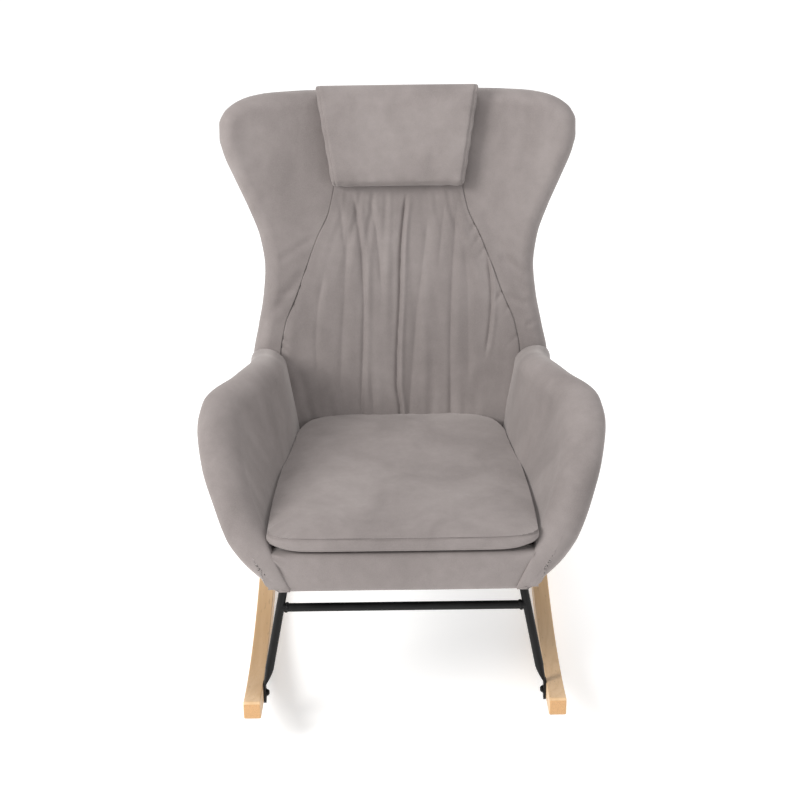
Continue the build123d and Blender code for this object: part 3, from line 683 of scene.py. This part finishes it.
def arm_middle(y, z):
    return curve(ARM_BASE_X, y) + curve(ARM_LEAN, y) * (z - ARM_BASE_Z)


def arm_inner(y, z):
    return arm_middle(y, z) - ARM_THICKNESS / 2


def seat_place(x, s, t):
    """Point of the seat: s back from its front, t up from its underside."""
    y = SEAT_FRONT_Y + s * math.cos(SEAT_TILT) + t * math.sin(SEAT_TILT)
    z = SEAT_BOTTOM_Z - s * math.sin(SEAT_TILT) + t * math.cos(SEAT_TILT)
    return np.stack(np.broadcast_arrays(x, y, z), -1)


def along(table, count):
    """Evenly spaced points on a smooth line through a table of places."""
    places = np.array(table)
    steps = np.concatenate([[0], np.cumsum(np.linalg.norm(np.diff(places, axis=0), axis=1))])
    at = np.linspace(0, steps[-1], count)
    return np.stack([curve(list(zip(steps, places[:, k])), at) for k in range(2)], -1)


def ahead_of_back(points):
    """Moves points that are inside the back forward to its face."""
    for _ in range(4):
        x, h, n = back_coordinates(points)
        inside = np.where(np.abs(x) < half_width(h), rim_share(x, h), 0.0)
        face = MIDDLE_N - MIDDLE_N * inside + 0.0004
        points[:, 1] -= np.maximum(face - n, 0) / math.cos(RECLINE)
    return points


def arm(side, name, node):
    """Arm upholstery: a leaning slab with a full round rim, tucked in under the seat outside."""
    rim = along(ARM_RIM, 190)
    rings = []
    up = eased(48)
    for y, high in rim:
        low = SEAT_BOTTOM_Z - (y - SEAT_FRONT_Y) * math.tan(SEAT_TILT) - 0.004
        z = low + (max(high, low + 0.002) - low) * up
        ys = np.full(z.shape, y)
        from_rim = distance_to(rim[::2], ys, z)
        inner_round = 0.006 + (ARM_ROUND - 0.006) * rise_between(0.395, 0.450, z)
        half = ARM_THICKNESS / 2 / np.cos(np.arctan(curve(ARM_LEAN, ys)))
        tuck = ARM_TUCK * np.clip(1 - (z - 0.330) / 0.085, 0, 1) ** 1.5
        soft = 0.0008 * np.sin(z * 52 + y * 21 + side) * np.sin(y * 30 - z * 13 + 2 * side)
        inner = arm_middle(ys, z) - half * rounded(from_rim, inner_round) - soft
        outer = arm_middle(ys, z) + half * rounded(from_rim, ARM_ROUND) - tuck + soft
        keep = rise_between(-0.385, -0.366, y) * (1 - rise_between(0.395, 0.412, z))
        outer = np.maximum(outer, inner + (arm_middle(ys, z) + PANEL_COVER - inner) * keep)
        x = np.concatenate([inner, outer[::-1], np.linspace(outer[0], inner[0], 6)[1:-1]])
        zs = np.concatenate([z, z[::-1], np.full(4, z[0])])
        points = np.stack([x, np.full(x.shape, y), zs], -1)
        rings.append(ahead_of_back(points) * (side, 1, 1))
    obj = ring_mesh(name, np.array(rings), VELVET)
    stand_for(obj, node)


def front_panel():
    """Front of the seat between the arms: eased top and bottom, slightly crowned, puckered on the left."""
    rings = []
    face = np.linspace(APRON_TOP - 0.008, APRON_BOTTOM + 0.016, 34)
    turn_low = np.linspace(0, math.pi / 2, 9)[1:]
    turn_high = np.linspace(0, math.pi / 2, 7)[:-1]
    front = -0.006
    s = np.concatenate([front + 0.008 - 0.008 * np.sin(turn_high), np.full(34, front),
                        front + 0.016 - 0.016 * np.cos(turn_low), (0.018, 0.027, 0.027, 0.027, 0.012)])
    t = np.concatenate([APRON_TOP - 0.008 + 0.008 * np.cos(turn_high), face,
                        APRON_BOTTOM + 0.016 - 0.016 * np.sin(turn_low),
                        (APRON_BOTTOM, APRON_BOTTOM, 0.030, APRON_TOP, APRON_TOP)])
    level = np.clip((t - APRON_BOTTOM) / (APRON_TOP - APRON_BOTTOM), 0, 1)
    crown = 0.005 * np.sin(math.pi * level) * (s < 0.004)
    for share in np.sin(np.linspace(-math.pi / 2, math.pi / 2, 190)):
        points = seat_place(0.0, s - crown * (1 - share ** 6), t)
        reach = arm_inner(points[:, 1], points[:, 2]) - 0.0006
        points[:, 0] = share * reach
        rings.append(points)
    obj = ring_mesh("front_panel_cover", np.array(rings), VELVET)
    points = points_of(obj)
    x, z = points[:, 0], points[:, 2]
    fan = np.sin(np.arctan2(z - 0.412, np.abs(x) - 0.275) * 19.0)
    near_end = np.exp(-((np.abs(x) - 0.238) / 0.022) ** 2)
    depth = np.where(x < 0, 0.0012, 0.0)
    facing = rise_between(0.3, 0.8, -normals_of(obj)[:, 1])
    push(obj, facing * (depth * near_end * fan + 0.0005 * np.sin(x * 24) * np.sin(z * 60)))
    stand_for(obj, "front_apron")


def seat_cushion():
    """Loose boxed cushion: flat under, a thin border between two seams, and a crowned top."""
    half = along(CUSHION_OUTLINE, 260)
    outline = np.concatenate([half, half[-2:0:-1] * (-1, 1)])
    middle = np.array((0.0, CUSHION_MIDDLE_Y))
    under = np.linspace(0.04, 0.985, 22)
    border = np.linspace(0.0, 1.0, 15)
    over = 1 - np.linspace(0.0, 1.0, 60) ** 1.5 * 0.97
    shares = np.concatenate([under, 0.992 + 0.014 * np.sin(math.pi * border), over[1:]])
    seams = np.exp(-((border - 0.12) / 0.05) ** 2) + np.exp(-((border - 0.90) / 0.05) ** 2)
    shares[22:37] -= 0.006 * seams
    heights = np.concatenate([np.full(22, CUSHION_BOTTOM), CUSHION_BOTTOM + CUSHION_BORDER * border,
                              CUSHION_BOTTOM + CUSHION_BORDER + CUSHION_CROWN * (1 - over[1:] ** 5)])
    off_corner = ((np.abs(outline[:, 0]) - 0.256) / 0.035) ** 2 + ((outline[:, 1] + 0.385) / 0.035) ** 2
    corner = np.exp(-off_corner)
    rings = []
    for share, height in zip(shares, heights):
        flat = middle + share * (outline - middle)
        s = (flat[:, 1] - SEAT_FRONT_Y) / math.cos(SEAT_TILT)
        low_part = np.clip(1 - (height - CUSHION_BOTTOM) / (CUSHION_BORDER + CUSHION_CROWN), 0, 1)
        lift = 0.010 * corner * low_part * rise_between(0.7, 1.0, share)
        pinch = 0.0007 * np.sin(outline[:, 0] * 420 + outline[:, 1] * 260) * rise_between(0.15, 0.25, corner)
        pinch = pinch * math.exp(-((height - CUSHION_BOTTOM - CUSHION_BORDER) / 0.004) ** 2)
        points = seat_place(flat[:, 0], s, height + lift + pinch)
        limit = arm_inner(points[:, 1], points[:, 2]) - 0.0022
        points[:, 0] = np.clip(points[:, 0], -limit, limit)
        rings.append(points)
    obj = ring_mesh("boxed_seat_cushion", np.array(rings), VELVET)
    points = points_of(obj)
    x, y = points[:, 0], points[:, 1]
    swell = 0.0009 * np.sin(x * 26 + 1.5) * np.sin(y * 22 + 0.6) + 0.0005 * np.sin(x * 61 + y * 47)
    push(obj, swell * (normals_of(obj)[:, 2] > 0.6))
    stand_for(obj, "seat_cushion", body="cushion")


def seat_deck():
    obj = soft_copy("seat_deck", "seat_foam", DECK_CLOTH, voxel=0.006, smoothing=6)
    push(obj, np.full(len(obj.data.vertices), -0.0004))
    stand_for(obj, "seat_foam")


def dust_sheet():
    """Thin cloth stapled under the seat, with a slight sag between the rails."""
    low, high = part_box("dust_cover")
    across = high[0] - low[0]
    columns, rows = 61, 65
    xs = np.linspace(-1, 1, columns)
    ss = np.linspace(0, 1, rows)
    grid = []
    for s in ss:
        half = np.interp(s, [0, 0.92, 1.0], [across / 2, across / 2 - 0.018, across / 2 - 0.028])
        y = low[1] + s * (high[1] - low[1])
        z = SEAT_BOTTOM_Z - (y - SEAT_FRONT_Y) * math.tan(SEAT_TILT) + 0.0005
        sag = -0.003 * np.clip(1 - xs**2, 0, 1) * math.sin(math.pi * s)
        ripple = 0.0005 * np.sin(xs * 30) * (1 - math.sin(math.pi * s))
        grid.append(np.stack([xs * half, np.full(columns, y), z + sag + ripple], -1))
    grid = np.array(grid)
    faces = []
    for i in range(rows - 1):
        for j in range(columns - 1):
            near = i * columns + j
            faces.append((near, near + 1, near + columns + 1, near + columns))
    mesh = bpy.data.meshes.new("dust_sheet")
    mesh.from_pydata(grid.reshape(-1, 3).tolist(), [], faces)
    obj = add_object("dust_sheet", mesh, DUST_CLOTH)
    thick = obj.modifiers.new("thickness", "SOLIDIFY")
    thick.thickness = 0.0006
    obj.data = evaluated_mesh(obj)
    obj.modifiers.clear()
    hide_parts("dust_cover")
    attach(obj, "frame")


# ---------------------------------------------------------------- weld beads

def weld_beads(bar, name):
    """Ring of weld around both ends of a crossbar, where it meets the leg tubes."""
    low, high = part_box(bar)
    y = (low[1] + high[1]) / 2
    z = (low[2] + high[2]) / 2
    radius = (high[2] - low[2]) / 2
    reach = high[0] - WELD_INSET
    mesh = bmesh.new()
    for end in (-1, 1):
        loops = []
        for i in range(WELD_AROUND):
            turn = 2 * math.pi * i / WELD_AROUND
            lump = 0.0019 + 0.0004 * math.sin(9 * turn + end)
            centre = Vector((end * reach, y + radius * math.cos(turn), z + radius * math.sin(turn)))
            centre.x -= end * 0.0015 * math.sin(turn)
            out = Vector((0, math.cos(turn), math.sin(turn)))
            loop = []
            for j in range(WELD_BEAD):
                spin = 2 * math.pi * j / WELD_BEAD
                loop.append(mesh.verts.new(centre + out * lump * math.cos(spin)
                                           + Vector((end * lump * 1.5 * math.sin(spin), 0, 0))))
            loops.append(loop)
        for i, loop in enumerate(loops):
            after = loops[(i + 1) % WELD_AROUND]
            for j in range(WELD_BEAD):
                k = (j + 1) % WELD_BEAD
                mesh.faces.new((loop[j], loop[k], after[k], after[j]))
    bmesh.ops.recalc_face_normals(mesh, faces=mesh.faces)
    data = bpy.data.meshes.new(name)
    mesh.to_mesh(data)
    mesh.free()
    obj = add_object(name, data, BLACK)
    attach(obj, "frame")


centre_panel()
wing(1, "wing_cover_right", "wing_pad_right")
wing(-1, "wing_cover_left", "wing_pad_left")
outside_back()
head_cushion()
seat_cushion()
arm(1, "arm_cover_right", "arm_pad_right")
arm(-1, "arm_cover_left", "arm_pad_left")
front_panel()
seat_deck()
dust_sheet()
weld_beads("front_crossbar", "weld_front")
weld_beads("rear_crossbar", "weld_rear")


# ---------------------------------------------------------------- floor, light and camera

def floor():
    mesh = bpy.data.meshes.new("floor")
    reach = 30.0
    mesh.from_pydata([(-reach, -reach, -0.0005), (reach, -reach, -0.0005), (reach, reach, -0.0005),
                      (-reach, reach, -0.0005)], [], [(0, 1, 2, 3)])
    material, tree, shader = new_material("pale_floor", 0.9)
    tone = noise(tree, object_place(tree), 2.0, 2.0, 0.5)
    tree.links.new(ramp(tree, tone, [(0.3, (0.93, 0.93, 0.93)), (0.7, (0.95, 0.95, 0.95))]),
                   shader.inputs["Base Color"])
    shader.inputs["Specular IOR Level"].default_value = 0.1
    shader.inputs["Emission Color"].default_value = (1.0, 1.0, 1.0, 1.0)
    shader.inputs["Emission Strength"].default_value = 0.35
    add_object("floor", mesh, material)


def area_light(name, place, target, size, power, colour=(1, 1, 1)):
    light = bpy.data.lights.new(name, "AREA")
    light.shape = "DISK"
    light.size = size
    light.energy = power
    light.color = colour
    obj = bpy.data.objects.new(name, light)
    bpy.context.scene.collection.objects.link(obj)
    obj.location = place
    obj.rotation_euler = (Vector(target) - Vector(place)).to_track_quat("-Z", "Y").to_euler()


def studio():
    world = bpy.data.worlds.new("studio")
    world.use_nodes = True
    background = next(n for n in world.node_tree.nodes if n.type == "BACKGROUND")
    background.inputs["Color"].default_value = (1.0, 0.995, 0.99, 1.0)
    background.inputs["Strength"].default_value = 0.62
    bpy.context.scene.world = world
    area_light("key", (-3.1, -2.0, 2.9), (0, 0, 0.55), 2.0, 155.0, (1.0, 0.985, 0.965))
    area_light("fill", (2.8, -2.8, 1.8), (0, 0, 0.5), 2.0, 20.0, (0.98, 0.99, 1.0))
    area_light("top", (0.2, 0.2, 3.6), (0, 0, 0.4), 1.8, 34.0)
    bpy.context.scene.view_settings.view_transform = "Standard"


def camera():
    """Standing photographer's view: in front, 2.66 m up, looking down 28.4 degrees."""
    data = bpy.data.cameras.new("camera")
    data.sensor_width = 36.0
    data.lens = 101.0
    data.shift_x = -0.0012
    obj = bpy.data.objects.new("camera", data)
    bpy.context.scene.collection.objects.link(obj)
    look_down = Matrix.Rotation(math.radians(90.0 - 28.4), 4, "X")
    roll = Matrix.Rotation(math.radians(-0.75), 4, "Z")
    obj.matrix_world = Matrix.Translation((0.0, -3.954, 2.664)) @ look_down @ roll
    bpy.context.scene.camera = obj


floor()
studio()
camera()
